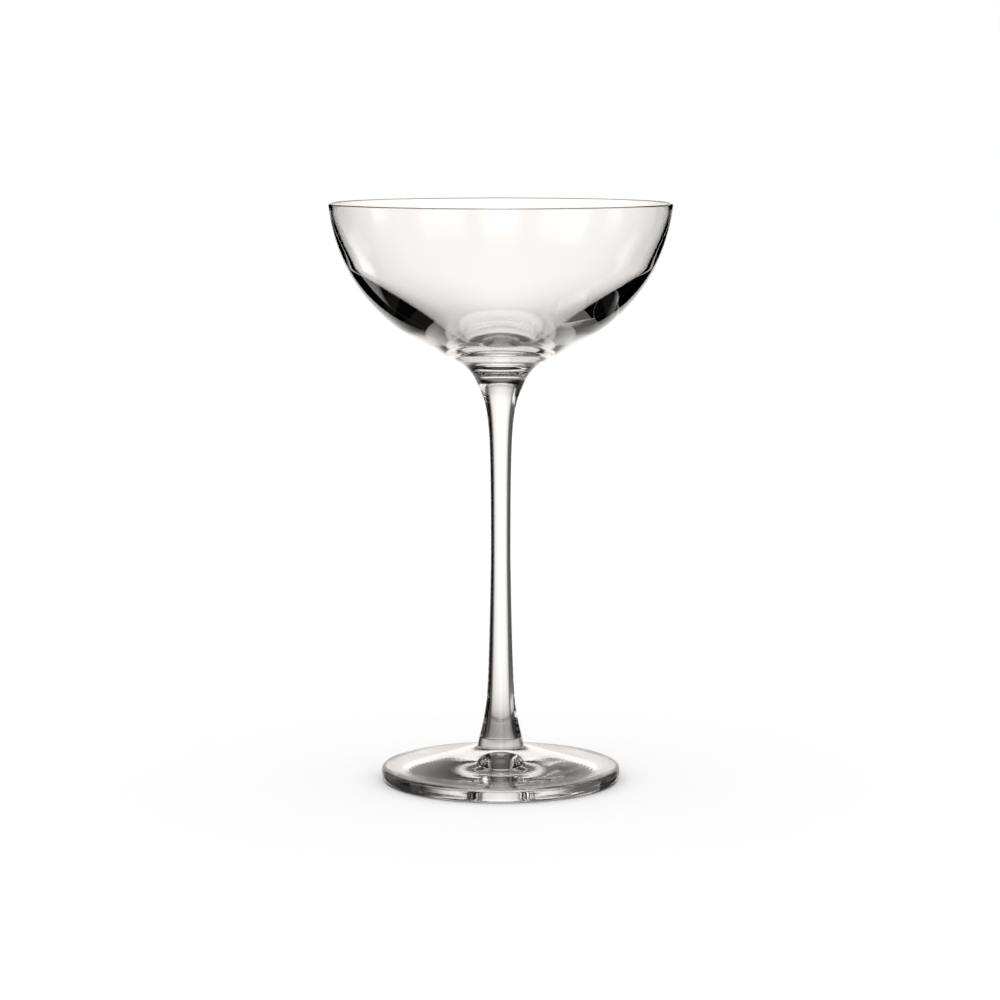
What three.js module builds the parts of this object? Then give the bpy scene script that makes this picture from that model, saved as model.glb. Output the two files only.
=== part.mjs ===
// A stemmed coupe glass, fused hot from three pieces of clear glass: the blown bowl, the drawn
// stem and the pressed foot. Millimetres, +Z up, origin on the table under the middle of the foot.

import * as THREE from 'three';

// Foot: a pressed disc, thick at its round edge, that rises to a low hub under the stem
const FOOT_RADIUS = 33.5;
const FOOT_EDGE_THICKNESS = 3.95;
const FOOT_EDGE_ROUND = 1.7;
const FOOT_EDGE_SLOPE = 2.9;
const FOOT_HUB_SLOPE = 14.8;
const HUB_HEIGHT = 10;
const HUB_BAND = 0.25;
const HUB_FILLET = 0.35;
const STANDING_RING_WIDTH = 2.34;
const UNDERSIDE_RISE = 3.17;
const UNDERSIDE_KNEE_RADIUS = 9.88;
const UNDERSIDE_KNEE_RISE = 1.98;
const UNDERSIDE_KNEE_SLOPE = 6.1;
const UNDERSIDE_EDGE_SLOPE = 6.6;

// Stem: solid, waisted, flaring softly into the bowl and more quickly into the foot
const STEM_LENGTH = 102;
const STEM_BASE_RADIUS = 6.4;
const STEM_BASE_LEAN = 10;
const STEM_ANKLE_RADIUS = 3.8;
const STEM_ANKLE_LEAN = 3.5;
const STEM_WAIST_RADIUS = 2.78;
const STEM_ANKLE_SHARE = 0.145;
const STEM_WAIST_SHARE = 0.535;

// Bowl: wide and shallow, thin at the rim, with a thick base that narrows into the stem; inside, its
// floor sinks past a soft shoulder into a small round well over the neck, a little raised in its middle
const BOWL_HEIGHT = 49.8;
const RIM_RADIUS = 47.7;
const RIM_WALL = 0.93;
const RIM_LEAN = 6.6;
const BOWL_NECK_RADIUS = 6.6;
const BOWL_NECK_SLOPE = 66.4;
const BOWL_FLARE_RADIUS = 11.8;
const BOWL_FLARE_RISE = 5.9;
const BOWL_FLARE_SLOPE = 25.4;
const BELLY_SLOPE = 61.3;
const SHOULDER_RADIUS = 13.04;
const SHOULDER_RISE = 11.55;
const SHOULDER_SLOPE = 19.2;
const WELL_RADIUS = 8.9;
const WELL_FLOOR_RISE = 8.44;
const WELL_MIDDLE_RISE = 10.11;

// Where the inside turns from its steep side to its belly, as shares of the rim's radius and of the
// bowl's height
const bellyShares = [0.8618, 0.6545];

// How far each curve keeps to the direction of its two ends, as shares of the distance between them
const bowlSideShares = [0.203, 0.52];
const bowlFlareShares = [0.45, 0.22];
const bowlInsideShares = [0.3654, 0.3353];
const insideBellyShares = [0.277, 0.265];
const wellSideShares = [0.6087, 0.3369];
const wellFloorShares = [0.5302, 0.5165];
const stemTopShares = [0.84, 0.168];
const stemShinShares = [0.21, 0.154];
const stemFlareShares = [0.22, 0.45];
const footTopShares = [0.23, 0.3];
const footRoundShares = [0.63, 0.63];
const footFilletShares = [0.4, 0.4];
const footCrownShares = [0.32, 0.38];
const footUnderShares = [0.275, 0.77];

// Facets round the axis, and along each kind of curve
const AROUND = 48;
const LONG_CURVE_STEPS = 14;
const SHORT_CURVE_STEPS = 6;

const GLASS_COLOUR = '#f4f6f3';

const neckHeight = HUB_HEIGHT + STEM_LENGTH;
const rimHeight = neckHeight + BOWL_HEIGHT;

// A knot of a profile: its radius, its height and the heading of the outline there, in degrees
// counted from straight outward towards straight up
function knot(radius, height, heading) {
  const turn = THREE.MathUtils.degToRad(heading);
  const way = new THREE.Vector2(Math.cos(turn), Math.sin(turn));
  return { at: new THREE.Vector2(radius, height), way };
}

// A smooth run from one knot to the next, with its first point left out
function run(from, to, shares, steps) {
  const distance = from.at.distanceTo(to.at);
  const [fromShare, toShare] = shares;
  const curve = new THREE.CubicBezierCurve(
    from.at,
    from.at.clone().addScaledVector(from.way, fromShare * distance),
    to.at.clone().addScaledVector(to.way, -toShare * distance),
    to.at,
  );
  return curve.getPoints(steps).slice(1);
}

// A round arc about a centre, between two angles in degrees, with its first point left out
function arc(x, z, radius, fromAngle, toAngle, steps) {
  const start = THREE.MathUtils.degToRad(fromAngle);
  const end = THREE.MathUtils.degToRad(toAngle);
  const curve = new THREE.EllipseCurve(x, z, radius, radius, start, end, end < start);
  return curve.getPoints(steps).slice(1);
}

// A closed solid of revolution whose profile starts and ends on the axis
function revolve(name, profile) {
  const geometry = new THREE.LatheGeometry(profile, AROUND);
  geometry.rotateX(Math.PI / 2);
  const glass = new THREE.MeshStandardMaterial({
    color: GLASS_COLOUR,
    roughness: 0.02,
    metalness: 0,
    transparent: true,
    opacity: 0.35,
  });
  const mesh = new THREE.Mesh(geometry, glass);
  mesh.name = name;
  return mesh;
}

// Underside hollow, flat standing ring, round edge, sloping top and the hub that takes the stem
function makeFoot() {
  const edgeInset = FOOT_RADIUS - FOOT_EDGE_ROUND;
  const ringInside = edgeInset - STANDING_RING_WIDTH;
  const crownMiddle = knot(0, UNDERSIDE_RISE, 0);
  const crownKnee = knot(UNDERSIDE_KNEE_RADIUS, UNDERSIDE_KNEE_RISE, -UNDERSIDE_KNEE_SLOPE);
  const crownEnd = knot(ringInside, 0, -UNDERSIDE_EDGE_SLOPE);
  const edgeBottom = knot(edgeInset, 0, 0);
  const edgeMiddle = knot(FOOT_RADIUS, FOOT_EDGE_THICKNESS / 2, 90);
  const edgeTop = knot(edgeInset, FOOT_EDGE_THICKNESS, 180 - FOOT_EDGE_SLOPE);
  const hubBandBottom = HUB_HEIGHT - HUB_BAND;
  const filletEnd = knot(STEM_BASE_RADIUS + HUB_FILLET, hubBandBottom - HUB_FILLET, 180 - FOOT_HUB_SLOPE);
  const bandEnd = knot(STEM_BASE_RADIUS, hubBandBottom, 90);
  return revolve('foot', [
    crownMiddle.at,
    ...run(crownMiddle, crownKnee, footCrownShares, SHORT_CURVE_STEPS),
    ...run(crownKnee, crownEnd, footUnderShares, SHORT_CURVE_STEPS),
    edgeBottom.at,
    ...run(edgeBottom, edgeMiddle, footRoundShares, SHORT_CURVE_STEPS),
    ...run(edgeMiddle, edgeTop, footRoundShares, SHORT_CURVE_STEPS),
    ...run(edgeTop, filletEnd, footTopShares, LONG_CURVE_STEPS),
    ...run(filletEnd, bandEnd, footFilletShares, SHORT_CURVE_STEPS),
    new THREE.Vector2(STEM_BASE_RADIUS, HUB_HEIGHT),
    new THREE.Vector2(0, HUB_HEIGHT),
  ]);
}

// A solid stem between its two weld faces, drawn out to a waist a little above the middle
function makeStem() {
  const base = knot(STEM_BASE_RADIUS, HUB_HEIGHT, 90 + STEM_BASE_LEAN);
  const ankle = knot(STEM_ANKLE_RADIUS, HUB_HEIGHT + STEM_ANKLE_SHARE * STEM_LENGTH, 90 + STEM_ANKLE_LEAN);
  const waist = knot(STEM_WAIST_RADIUS, HUB_HEIGHT + STEM_WAIST_SHARE * STEM_LENGTH, 90);
  const neck = knot(BOWL_NECK_RADIUS, neckHeight, BOWL_NECK_SLOPE);
  return revolve('stem', [
    new THREE.Vector2(0, HUB_HEIGHT),
    base.at,
    ...run(base, ankle, stemFlareShares, LONG_CURVE_STEPS),
    ...run(ankle, waist, stemShinShares, SHORT_CURVE_STEPS),
    ...run(waist, neck, stemTopShares, LONG_CURVE_STEPS),
    new THREE.Vector2(0, neckHeight),
  ]);
}

// The bowl: its neck, the flare under the base, the round side, the fire-polished lip and the inside
function makeBowl() {
  const lip = RIM_WALL / 2;
  const lipHeight = rimHeight - lip;
  const neck = knot(BOWL_NECK_RADIUS, neckHeight, BOWL_NECK_SLOPE);
  const flare = knot(BOWL_FLARE_RADIUS, neckHeight + BOWL_FLARE_RISE, BOWL_FLARE_SLOPE);
  const rimOutside = knot(RIM_RADIUS, lipHeight, 90 - RIM_LEAN);
  const rimInside = knot(RIM_RADIUS - RIM_WALL, lipHeight, 270 - RIM_LEAN);
  const [bellyRadiusShare, bellyRiseShare] = bellyShares;
  const bellyHeight = neckHeight + bellyRiseShare * BOWL_HEIGHT;
  const belly = knot(bellyRadiusShare * RIM_RADIUS, bellyHeight, 180 + BELLY_SLOPE);
  const shoulder = knot(SHOULDER_RADIUS, neckHeight + SHOULDER_RISE, 180 + SHOULDER_SLOPE);
  const wellFloor = knot(WELL_RADIUS, neckHeight + WELL_FLOOR_RISE, 180);
  const wellMiddle = knot(0, neckHeight + WELL_MIDDLE_RISE, 180);
  return revolve('bowl', [
    new THREE.Vector2(0, neckHeight),
    neck.at,
    ...run(neck, flare, bowlFlareShares, SHORT_CURVE_STEPS),
    ...run(flare, rimOutside, bowlSideShares, LONG_CURVE_STEPS),
    ...arc(RIM_RADIUS - lip, lipHeight, lip, 0, 180, SHORT_CURVE_STEPS),
    ...run(rimInside, belly, bowlInsideShares, SHORT_CURVE_STEPS),
    ...run(belly, shoulder, insideBellyShares, LONG_CURVE_STEPS),
    ...run(shoulder, wellFloor, wellSideShares, SHORT_CURVE_STEPS),
    ...run(wellFloor, wellMiddle, wellFloorShares, SHORT_CURVE_STEPS),
  ]);
}

const glass = new THREE.Group();
glass.add(makeBowl(), makeStem(), makeFoot());

export default glass;
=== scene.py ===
# A stemmed coupe glass on a white table: the blown bowl, the drawn stem and the pressed foot, welded
# hot into one clear glass. Metres, +Z up, origin on the table under the middle of the foot.

import math

import bmesh
import bpy
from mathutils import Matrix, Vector
from mathutils.geometry import interpolate_bezier


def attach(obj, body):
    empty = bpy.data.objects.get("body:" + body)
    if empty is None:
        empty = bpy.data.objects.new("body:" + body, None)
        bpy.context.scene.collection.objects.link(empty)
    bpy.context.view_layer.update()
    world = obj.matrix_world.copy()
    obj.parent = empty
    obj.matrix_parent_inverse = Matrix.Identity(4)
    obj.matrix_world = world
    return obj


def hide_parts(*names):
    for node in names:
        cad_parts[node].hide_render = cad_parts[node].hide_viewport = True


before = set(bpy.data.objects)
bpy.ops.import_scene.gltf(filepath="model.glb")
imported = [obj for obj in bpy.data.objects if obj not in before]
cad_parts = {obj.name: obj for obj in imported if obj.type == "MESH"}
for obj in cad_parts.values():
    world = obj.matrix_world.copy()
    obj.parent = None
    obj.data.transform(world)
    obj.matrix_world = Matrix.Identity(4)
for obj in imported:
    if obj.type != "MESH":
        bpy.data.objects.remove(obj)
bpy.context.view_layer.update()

# The lengths below are in millimetres and the angles in degrees
MM = 0.001

# Foot: a pressed disc, thick at its round edge, rising to a low hub, and hollow below
FOOT_RADIUS = 33.5
FOOT_EDGE_THICKNESS = 3.95
FOOT_EDGE_ROUND = 1.7
FOOT_EDGE_SLOPE = 2.9
FOOT_HUB_SLOPE = 14.8
HUB_HEIGHT = 10.0
HUB_BAND = 0.25
HUB_FILLET = 0.35
STANDING_RING_WIDTH = 2.34
UNDERSIDE_RISE = 3.17
UNDERSIDE_KNEE_RADIUS = 9.88
UNDERSIDE_KNEE_RISE = 1.98
UNDERSIDE_KNEE_SLOPE = 6.1
UNDERSIDE_EDGE_SLOPE = 6.6

# Stem: solid, waisted, flaring softly into the bowl and more quickly into the foot
STEM_LENGTH = 102.0
STEM_BASE_RADIUS = 6.4
STEM_BASE_LEAN = 10.0
STEM_ANKLE_RADIUS = 3.8
STEM_ANKLE_LEAN = 3.5
STEM_WAIST_RADIUS = 2.78
STEM_ANKLE_SHARE = 0.145
STEM_WAIST_SHARE = 0.535

# Bowl: wide and shallow, thin at the rim, thick at the base, with a small round well over the neck
BOWL_HEIGHT = 49.8
RIM_RADIUS = 47.7
RIM_WALL = 0.93
RIM_LEAN = 6.6
BOWL_NECK_RADIUS = 6.6
BOWL_NECK_SLOPE = 66.4
BOWL_FLARE_RADIUS = 11.8
BOWL_FLARE_RISE = 5.9
BOWL_FLARE_SLOPE = 25.4
BELLY_SLOPE = 61.3
SHOULDER_RADIUS = 13.04
SHOULDER_RISE = 11.55
SHOULDER_SLOPE = 19.2
WELL_RADIUS = 8.9
WELL_FLOOR_RISE = 8.44
WELL_MIDDLE_RISE = 10.11

neck_height = HUB_HEIGHT + STEM_LENGTH
rim_height = neck_height + BOWL_HEIGHT

# Where the inside turns from its steep side to its belly: shares of the rim's radius and bowl's height
belly_shares = (0.8618, 0.6545)

# How far each curve keeps to the direction of its two ends, as shares of the distance between them
bowl_flare_shares = (0.45, 0.22)
bowl_side_shares = (0.203, 0.52)
bowl_inside_shares = (0.3654, 0.3353)
inside_belly_shares = (0.277, 0.265)
well_side_shares = (0.6087, 0.3369)
well_floor_shares = (0.5302, 0.5165)
stem_flare_shares = (0.22, 0.45)
stem_shin_shares = (0.21, 0.154)
stem_top_shares = (0.84, 0.168)
foot_crown_shares = (0.32, 0.38)
foot_under_shares = (0.275, 0.77)
foot_round_shares = (0.63, 0.63)
foot_top_shares = (0.23, 0.3)
foot_fillet_shares = (0.4, 0.4)

# Facets round the axis, and steps along the curves; glass shows every facet, so there are many
AROUND = 240
LONG_STEPS = 48
SHORT_STEPS = 20

# A point this near a weld's height lies on it, in metres
LEVEL_GAP = 1e-7

# The glass, and the marks that each way of working leaves in its surface
CRYSTAL_COLOUR = "#fefefe"
CRYSTAL_IOR = 1.52
WAVE_LENGTH = 16.0
WAVE_HEIGHT = 0.006
LINE_SPACING = 1.39
LINE_LENGTH = 50.0
LINE_HEIGHT = 0.006
RING_SPACING = 1.1
RING_HEIGHT = 0.002

# What the glass bends or mirrors is a dark room with white panels in it. A row of panels_around has the
# way it stands, from straight behind the glass towards the right, and the red, green and blue there. Red
# is the wide panel behind the glass, which fades out to each side, and one straight in front; green is a
# panel at the back on the left, blue a narrow one on the left, and both are one at the front on the right.
# The tint makes all of it a little warm
PANEL_LIGHT = 1.16
ROOM_LIGHT = 0.008
CEILING_LIGHT = 0.3
ROOM_TINT = "#fffbf8"
panels_around = [
    (-171, 1, 0, 0), (-165, 0, 0, 0), (-99, 0, 0, 0), (-95, 0, 0, 1), (-85, 0, 0, 1), (-81, 0, 0, 0),
    (-62, 0, 0, 0), (-56, 0, 1, 0), (-37, 0, 1, 0), (-34, 0.05, 0.5, 0), (-31, 0.2, 0, 0),
    (-28, 0.5, 0, 0), (-25, 0.74, 0, 0), (-22, 0.82, 0, 0), (-18, 0.87, 0, 0), (-12, 0.95, 0, 0),
    (0, 1, 0, 0), (12, 0.95, 0, 0), (18, 0.87, 0, 0), (22, 0.82, 0, 0), (25, 0.74, 0, 0),
    (28, 0.5, 0, 0), (31, 0.2, 0, 0), (34, 0.05, 0, 0), (37, 0, 0, 0), (115, 0, 0, 0), (121, 0, 1, 1),
    (149, 0, 1, 1), (155, 0, 0, 0), (165, 0, 0, 0), (171, 1, 0, 0)]

# A row of panels_above has a height over the horizon, how much of the red, green and blue panels' light
# there is at that height, and the light of the room itself
panels_above = [
    (-9, 1, 0, 0, ROOM_LIGHT), (-5, 1, 0.1, 1, ROOM_LIGHT), (13, 1, 0.1, 1, ROOM_LIGHT),
    (17, 1, 0.3, 0.6, ROOM_LIGHT), (20, 0.95, 0.8, 0.2, ROOM_LIGHT), (22, 0.9, 1, 0, ROOM_LIGHT),
    (30, 0.5, 1, 0, ROOM_LIGHT), (33, 0.35, 0, 0, ROOM_LIGHT), (41, 0.1, 0, 0, ROOM_LIGHT),
    (50, 0, 0, 0, ROOM_LIGHT), (60, 0, 0, 0, ROOM_LIGHT), (80, 0, 0, 0, CEILING_LIGHT)]

# Two narrow black cards stand on edge beside the wide panel, each this far round from the back, from
# near to far and from bottom to top
CARD_TURN = 45.0
CARD_NEAR = 91.0
CARD_FAR = 260.0
CARD_BOTTOM = 25.0
CARD_TOP = 178.0

# The table top: how far it reaches to each side, how far it lies under the foot, so that the two never
# coincide, its colour, and a little glow that brings it nearer to white
TABLE_REACH = 3000.0
TABLE_DROP = 0.02
TABLE_COLOUR = "#fcfcfc"
TABLE_GLOW = 0.07

# The share of the room that the table top mirrors, by the distance from the axis, up to PAINTED_SHADE_END.
# The smaller shares near the foot are painted shade, the foot's shadow on the table put into the mirror's
# colour
PAINTED_SHADE_END = 450.0
painted_foot_shade = [
    (20, 0.25), (35, 0.5), (50, 0.7), (65, 0.78), (99, 0.86), (150, 0.92), (250, 0.97), (400, 1.0)]

# The camera's place and its nearest limit are in metres
CAMERA_LENS = 114.6
CAMERA_SENSOR = 36
CAMERA_LIMIT = 0.01
CAMERA_TIP = 7.152
camera_place = (-0.0002, -0.8822, 0.1898)

# How often light may turn on its way: it crosses many glass surfaces one behind the other
GLASS_BOUNCES = 32
MIRROR_BOUNCES = 16


def linear(code):
    """An sRGB hex colour as the linear RGBA that Blender's sockets take."""
    channels = [int(code[i:i + 2], 16) / 255 for i in (1, 3, 5)]
    return [c / 12.92 if c <= 0.04045 else ((c + 0.055) / 1.055) ** 2.4 for c in channels] + [1.0]


def knot(radius, height, heading):
    """A point of a profile and the way the outline heads there, in degrees from outward towards up."""
    turn = math.radians(heading)
    return Vector((radius, height)), Vector((math.cos(turn), math.sin(turn)))


def run(start, end, shares, steps):
    """A smooth run from one knot to the next, with its first point left out."""
    reach = (end[0] - start[0]).length
    leave = start[0] + start[1] * shares[0] * reach
    arrive = end[0] - end[1] * shares[1] * reach
    return interpolate_bezier(start[0], leave, arrive, end[0], steps + 1)[1:]


def arc(middle, radius, first, last, steps):
    """A round arc between two angles in degrees, with its first point left out."""
    angles = [math.radians(first + (last - first) * step / steps) for step in range(1, steps + 1)]
    return [middle + radius * Vector((math.cos(a), math.sin(a))) for a in angles]


def bowl_profile():
    """Neck, flare under the base, round side, fire-polished lip, then the inside down into the well."""
    lip = RIM_WALL / 2
    lip_height = rim_height - lip
    neck = knot(BOWL_NECK_RADIUS, neck_height, BOWL_NECK_SLOPE)
    flare = knot(BOWL_FLARE_RADIUS, neck_height + BOWL_FLARE_RISE, BOWL_FLARE_SLOPE)
    rim_outside = knot(RIM_RADIUS, lip_height, 90 - RIM_LEAN)
    rim_inside = knot(RIM_RADIUS - RIM_WALL, lip_height, 270 - RIM_LEAN)
    belly_height = neck_height + belly_shares[1] * BOWL_HEIGHT
    belly = knot(belly_shares[0] * RIM_RADIUS, belly_height, 180 + BELLY_SLOPE)
    shoulder = knot(SHOULDER_RADIUS, neck_height + SHOULDER_RISE, 180 + SHOULDER_SLOPE)
    well_floor = knot(WELL_RADIUS, neck_height + WELL_FLOOR_RISE, 180)
    well_middle = knot(0, neck_height + WELL_MIDDLE_RISE, 180)
    return [Vector((0, neck_height)), neck[0],
            *run(neck, flare, bowl_flare_shares, SHORT_STEPS),
            *run(flare, rim_outside, bowl_side_shares, LONG_STEPS),
            *arc(Vector((RIM_RADIUS - lip, lip_height)), lip, 0, 180, SHORT_STEPS),
            *run(rim_inside, belly, bowl_inside_shares, LONG_STEPS),
            *run(belly, shoulder, inside_belly_shares, LONG_STEPS),
            *run(shoulder, well_floor, well_side_shares, LONG_STEPS),
            *run(well_floor, well_middle, well_floor_shares, SHORT_STEPS)]


def stem_profile():
    """A solid stem between its two weld faces, drawn out to a waist above the middle."""
    base = knot(STEM_BASE_RADIUS, HUB_HEIGHT, 90 + STEM_BASE_LEAN)
    ankle = knot(STEM_ANKLE_RADIUS, HUB_HEIGHT + STEM_ANKLE_SHARE * STEM_LENGTH, 90 + STEM_ANKLE_LEAN)
    waist = knot(STEM_WAIST_RADIUS, HUB_HEIGHT + STEM_WAIST_SHARE * STEM_LENGTH, 90)
    neck = knot(BOWL_NECK_RADIUS, neck_height, BOWL_NECK_SLOPE)
    return [Vector((0, HUB_HEIGHT)), base[0],
            *run(base, ankle, stem_flare_shares, LONG_STEPS),
            *run(ankle, waist, stem_shin_shares, SHORT_STEPS),
            *run(waist, neck, stem_top_shares, LONG_STEPS),
            Vector((0, neck_height))]


def foot_profile():
    """Hollow underside, flat standing ring, round edge, sloping top and the hub that takes the stem."""
    inset = FOOT_RADIUS - FOOT_EDGE_ROUND
    band = HUB_HEIGHT - HUB_BAND
    crown_middle = knot(0, UNDERSIDE_RISE, 0)
    crown_knee = knot(UNDERSIDE_KNEE_RADIUS, UNDERSIDE_KNEE_RISE, -UNDERSIDE_KNEE_SLOPE)
    crown_end = knot(inset - STANDING_RING_WIDTH, 0, -UNDERSIDE_EDGE_SLOPE)
    edge_bottom = knot(inset, 0, 0)
    edge_middle = knot(FOOT_RADIUS, FOOT_EDGE_THICKNESS / 2, 90)
    edge_top = knot(inset, FOOT_EDGE_THICKNESS, 180 - FOOT_EDGE_SLOPE)
    fillet_end = knot(STEM_BASE_RADIUS + HUB_FILLET, band - HUB_FILLET, 180 - FOOT_HUB_SLOPE)
    band_end = knot(STEM_BASE_RADIUS, band, 90)
    return [crown_middle[0],
            *run(crown_middle, crown_knee, foot_crown_shares, LONG_STEPS),
            *run(crown_knee, crown_end, foot_under_shares, LONG_STEPS),
            edge_bottom[0],
            *run(edge_bottom, edge_middle, foot_round_shares, SHORT_STEPS),
            *run(edge_middle, edge_top, foot_round_shares, SHORT_STEPS),
            *run(edge_top, fillet_end, foot_top_shares, LONG_STEPS),
            *run(fillet_end, band_end, foot_fillet_shares, SHORT_STEPS),
            Vector((STEM_BASE_RADIUS, HUB_HEIGHT)), Vector((0, HUB_HEIGHT))]


def add(tree, kind, settings=None, inputs=None):
    """One shader node with its settings; an input is a value or the socket that feeds it."""
    node = tree.nodes.new(kind)
    for name, value in (settings or {}).items():
        setattr(node, name, value)
    for name, value in (inputs or {}).items():
        if isinstance(value, bpy.types.NodeSocket):
            tree.links.new(value, node.inputs[name])
        else:
            node.inputs[name].default_value = value
    return node


def stops(node, rows):
    """Sets a colour ramp's stops, each a position from 0 to 1, a colour and its alpha."""
    row = node.color_ramp.elements
    while len(row) < len(rows):
        row.new(1.0)
    for element, (position, colour) in zip(row, rows):
        element.position = position
        element.color = colour
    return node


def through_glass(tree):
    """One for what is seen bent or mirrored by the glass, nought for what is seen direct."""
    ray = add(tree, "ShaderNodeLightPath").outputs
    return add(tree, "ShaderNodeMath", {"operation": "MAXIMUM"},
               {0: ray["Is Glossy Ray"], 1: ray["Is Transmission Ray"]}).outputs[0]


def empty_material(name):
    """A material whose nodes are all still to be added."""
    material = bpy.data.materials.new(name)
    material.use_nodes = True
    material.node_tree.nodes.clear()
    return material, material.node_tree


def placed(name, bm, *finishes):
    """Puts a drawn mesh in the scene as an object with its materials."""
    mesh = bpy.data.meshes.new(name)
    bm.to_mesh(mesh)
    bm.free()
    for finish in finishes:
        mesh.materials.append(finish)
    thing = bpy.data.objects.new(name, mesh)
    bpy.context.collection.objects.link(thing)
    return thing


def clear_crystal(name):
    """Lead-free crystal, melted clear and fire-polished: colourless, mirror-smooth and strongly bending."""
    material = bpy.data.materials.new(name)
    material.use_nodes = True
    tree = material.node_tree
    shader = tree.nodes["Principled BSDF"]
    shader.inputs["Base Color"].default_value = linear(CRYSTAL_COLOUR)
    shader.inputs["Metallic"].default_value = 0.0
    shader.inputs["Roughness"].default_value = 0.0
    shader.inputs["IOR"].default_value = CRYSTAL_IOR
    shader.inputs["Transmission Weight"].default_value = 1.0
    place = add(tree, "ShaderNodeTexCoord")
    return material, tree, shader, place.outputs["Object"]


def weld():
    """The face where two hot pieces fused: there is no surface there, so light passes straight on."""
    material, tree = empty_material("fused_weld")
    clear = add(tree, "ShaderNodeBsdfTransparent", inputs={"Color": (1, 1, 1, 1)})
    add(tree, "ShaderNodeOutputMaterial", inputs={"Surface": clear.outputs[0]})
    return material


def spun(name, profile, finish, join, welds):
    """A closed piece of glass turned round the axis, with the fused faces at the weld heights.

    The profile starts and ends on the axis, so its first and last rings are single points.
    """
    bm = bmesh.new()
    ways = [Vector((math.cos(math.tau * step / AROUND), math.sin(math.tau * step / AROUND), 0))
            for step in range(AROUND)]
    rings = [[bm.verts.new((0, 0, profile[0].y * MM))]]
    for radius, height in profile[1:-1]:
        rings.append([bm.verts.new((way * radius + Vector((0, 0, height))) * MM) for way in ways])
    rings.append([bm.verts.new((0, 0, profile[-1].y * MM))])
    for ring, later in zip(rings, rings[1:]):
        for step in range(AROUND):
            pairs = [(ring, step), (ring, step + 1), (later, step + 1), (later, step)]
            corners = dict.fromkeys(points[index % len(points)] for points, index in pairs)
            face = bm.faces.new(list(corners))
            fused = any(all(abs(v.co.z - height * MM) < LEVEL_GAP for v in face.verts) for height in welds)
            face.material_index = int(fused)
            face.smooth = not fused
    for edge in bm.edges:
        edge.smooth = len({face.material_index for face in edge.link_faces}) == 1
    piece = placed(name, bm, finish, join)
    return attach(piece, "root")


def surroundings():
    """Even white light. What the glass bends or mirrors is a dark room with white panels standing in it."""
    world = bpy.data.worlds.new("studio")
    bpy.context.scene.world = world
    world.use_nodes = True
    tree = world.node_tree
    tree.nodes.clear()
    view = add(tree, "ShaderNodeTexCoord").outputs["Generated"]
    way = add(tree, "ShaderNodeSeparateXYZ", inputs={0: view}).outputs
    turn = add(tree, "ShaderNodeMath", {"operation": "ARCTAN2"}, {0: way[0], 1: way[1]}).outputs[0]
    rise = add(tree, "ShaderNodeMath", {"operation": "ARCSINE"}, {0: way[2]}).outputs[0]
    turn_share = add(tree, "ShaderNodeMath", {"operation": "MULTIPLY_ADD"},
                     {0: turn, 1: 1 / math.tau, 2: 0.5}).outputs[0]
    rise_share = add(tree, "ShaderNodeMath", {"operation": "MULTIPLY_ADD"},
                     {0: rise, 1: 1 / math.pi, 2: 0.5}).outputs[0]
    around = stops(add(tree, "ShaderNodeValToRGB", inputs={0: turn_share}),
                   [(0.5 + degrees / 360, (*panels, 1)) for degrees, *panels in panels_around])
    above = stops(add(tree, "ShaderNodeValToRGB", inputs={0: rise_share}),
                  [(0.5 + degrees / 180, panels) for degrees, *panels in panels_above])
    lit = add(tree, "ShaderNodeVectorMath", {"operation": "DOT_PRODUCT"},
              {0: around.outputs[0], 1: above.outputs[0]}).outputs["Value"]
    room = add(tree, "ShaderNodeMath", {"operation": "MULTIPLY_ADD"},
               {0: lit, 1: PANEL_LIGHT, 2: above.outputs[1]}).outputs[0]
    bent = through_glass(tree)
    strength = add(tree, "ShaderNodeMix", {"data_type": "FLOAT"}, {0: bent, 2: 1.0, 3: room}).outputs[0]
    tint = add(tree, "ShaderNodeMix", {"data_type": "RGBA"},
               {0: bent, 6: (1, 1, 1, 1), 7: linear(ROOM_TINT)}).outputs[2]
    light = add(tree, "ShaderNodeBackground", inputs={"Color": tint, "Strength": strength})
    add(tree, "ShaderNodeOutputWorld", inputs={"Surface": light.outputs[0]})


def table():
    """A matt white table top. Where the glass shows it, it mirrors the room, darkened near the foot by
    painted shade of the foot.
    """
    material, tree = empty_material("white_laminate")
    direct = add(tree, "ShaderNodeLightPath").outputs["Is Camera Ray"]
    lift = add(tree, "ShaderNodeMath", {"operation": "MULTIPLY"}, {0: direct, 1: TABLE_GLOW}).outputs[0]
    matt = add(tree, "ShaderNodeBsdfDiffuse", inputs={"Color": linear(TABLE_COLOUR)})
    glow = add(tree, "ShaderNodeEmission", inputs={"Strength": lift})
    white = add(tree, "ShaderNodeAddShader", inputs={0: matt.outputs[0], 1: glow.outputs[0]})
    place = add(tree, "ShaderNodeTexCoord").outputs["Object"]
    away = add(tree, "ShaderNodeVectorMath", {"operation": "LENGTH"}, {0: place}).outputs["Value"]
    share = add(tree, "ShaderNodeMath", {"operation": "DIVIDE"}, {0: away, 1: PAINTED_SHADE_END * MM}).outputs[0]
    # Painted shade: the mirror's colour is darker near the foot, standing in for the foot's shadow on the
    # table
    painted_shade = stops(add(tree, "ShaderNodeValToRGB", inputs={0: share}),
                  [(radius / PAINTED_SHADE_END, (seen, seen, seen, 1)) for radius, seen in painted_foot_shade])
    mirror = add(tree, "ShaderNodeBsdfGlossy", inputs={"Color": painted_shade.outputs[0], "Roughness": 0.0})
    mix = add(tree, "ShaderNodeMixShader",
              inputs={0: through_glass(tree), 1: white.outputs[0], 2: mirror.outputs[0]})
    add(tree, "ShaderNodeOutputMaterial", inputs={"Surface": mix.outputs[0]})
    bm = bmesh.new()
    bmesh.ops.create_grid(bm, x_segments=1, y_segments=1, size=TABLE_REACH * MM)
    top = placed("table_top", bm, material)
    top.location.z = -TABLE_DROP * MM


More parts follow.
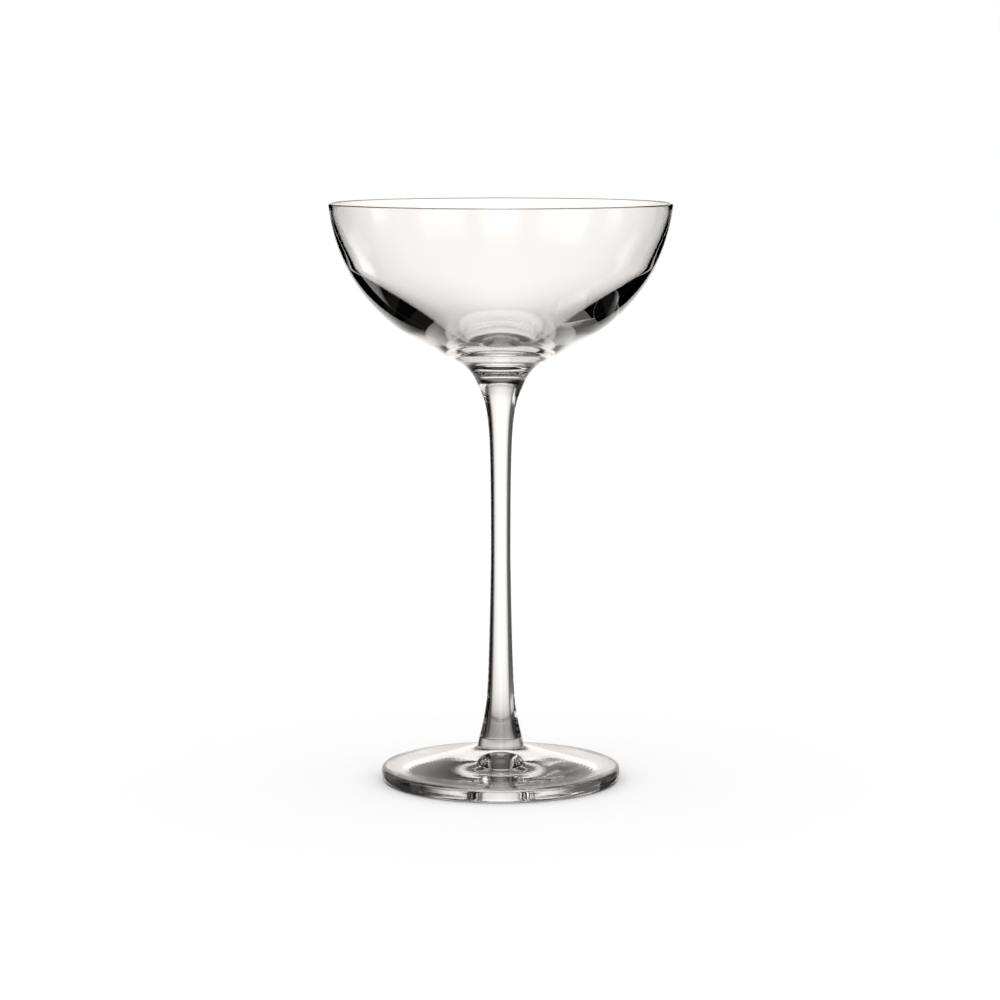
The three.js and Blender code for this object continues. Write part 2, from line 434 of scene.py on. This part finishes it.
def cards():
    """Two black cards on edge beside the wide panel: only what the glass bends or mirrors shows them."""
    material, tree = empty_material("black_card")
    clear = add(tree, "ShaderNodeBsdfTransparent", inputs={"Color": (1, 1, 1, 1)})
    black = add(tree, "ShaderNodeEmission", inputs={"Strength": 0.0})
    mix = add(tree, "ShaderNodeMixShader",
              inputs={0: through_glass(tree), 1: clear.outputs[0], 2: black.outputs[0]})
    add(tree, "ShaderNodeOutputMaterial", inputs={"Surface": mix.outputs[0]})
    corners = ((CARD_NEAR, CARD_BOTTOM), (CARD_FAR, CARD_BOTTOM), (CARD_FAR, CARD_TOP), (CARD_NEAR, CARD_TOP))
    bm = bmesh.new()
    for turn in (-CARD_TURN, CARD_TURN):
        way = Vector((math.sin(math.radians(turn)), math.cos(math.radians(turn)), 0))
        bm.faces.new([bm.verts.new((way * out + Vector((0, 0, height))) * MM) for out, height in corners])
    pair = placed("black_cards", bm, material)


def camera():
    """The photograph's view: a long lens a little above the rim, tipped down at the glass."""
    data = bpy.data.cameras.new("camera")
    data.lens = CAMERA_LENS
    data.sensor_width = CAMERA_SENSOR
    data.clip_start = CAMERA_LIMIT
    eye = bpy.data.objects.new("camera", data)
    eye.location = camera_place
    eye.rotation_euler = (math.radians(90 - CAMERA_TIP), 0, 0)
    bpy.context.collection.objects.link(eye)
    bpy.context.scene.camera = eye


# The blown wall undulates very slightly, in long soft waves that make what is seen through it swim a little
blown, tree, shader, place = clear_crystal("blown_crystal")
waves = add(tree, "ShaderNodeTexNoise",
            inputs={"Vector": place, "Scale": 1 / (WAVE_LENGTH * MM), "Detail": 1.0})
swell = add(tree, "ShaderNodeBump",
            inputs={"Strength": 1.0, "Distance": WAVE_HEIGHT * MM, "Height": waves.outputs[0]})
tree.links.new(swell.outputs[0], shader.inputs["Normal"])

# Drawing leaves faint lines along the stem, spaced by their distance round its waist
drawn, tree, shader, place = clear_crystal("drawn_crystal")
lanes = STEM_WAIST_RADIUS / LINE_SPACING
across = add(tree, "ShaderNodeVectorMath", {"operation": "MULTIPLY"}, {0: place, 1: (1, 1, 0)}).outputs[0]
outward = add(tree, "ShaderNodeVectorMath", {"operation": "NORMALIZE"}, {0: across}).outputs[0]
along = add(tree, "ShaderNodeVectorMath", {"operation": "MULTIPLY"},
            {0: place, 1: (0, 0, 1 / (LINE_LENGTH * MM))}).outputs[0]
lane = add(tree, "ShaderNodeVectorMath", {"operation": "MULTIPLY_ADD"},
           {0: outward, 1: (lanes, lanes, 0), 2: along}).outputs[0]
lines = add(tree, "ShaderNodeTexNoise", inputs={"Vector": lane, "Scale": 1.0, "Detail": 1.0})
streak = add(tree, "ShaderNodeBump",
             inputs={"Strength": 1.0, "Distance": LINE_HEIGHT * MM, "Height": lines.outputs[0]})
tree.links.new(streak.outputs[0], shader.inputs["Normal"])

# The turned steel mould leaves fine rings on the pressed foot, drawn coarser than real ones so that they
# show; a ring of the wave texture is pi / 10 / Scale wide
pressed, tree, shader, place = clear_crystal("pressed_crystal")
rings = add(tree, "ShaderNodeTexWave", {"wave_type": "RINGS", "rings_direction": "Z"},
            {"Vector": place, "Scale": math.pi / 10 / (RING_SPACING * MM), "Distortion": 0.0})
turned = add(tree, "ShaderNodeBump",
             inputs={"Strength": 1.0, "Distance": RING_HEIGHT * MM, "Height": rings.outputs[1]})
tree.links.new(turned.outputs[0], shader.inputs["Normal"])

join = weld()

bowl = spun("blown_bowl", bowl_profile(), blown, join, [neck_height])
stem = spun("drawn_stem", stem_profile(), drawn, join, [HUB_HEIGHT, neck_height])
foot = spun("pressed_foot", foot_profile(), pressed, join, [HUB_HEIGHT])
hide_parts("bowl")
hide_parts("stem")
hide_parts("foot")

surroundings()
table()
cards()
camera()

scene = bpy.context.scene
scene.view_settings.view_transform = "Standard"
scene.cycles.max_bounces = GLASS_BOUNCES
scene.cycles.transmission_bounces = GLASS_BOUNCES
scene.cycles.glossy_bounces = MIRROR_BOUNCES
scene.cycles.transparent_max_bounces = GLASS_BOUNCES
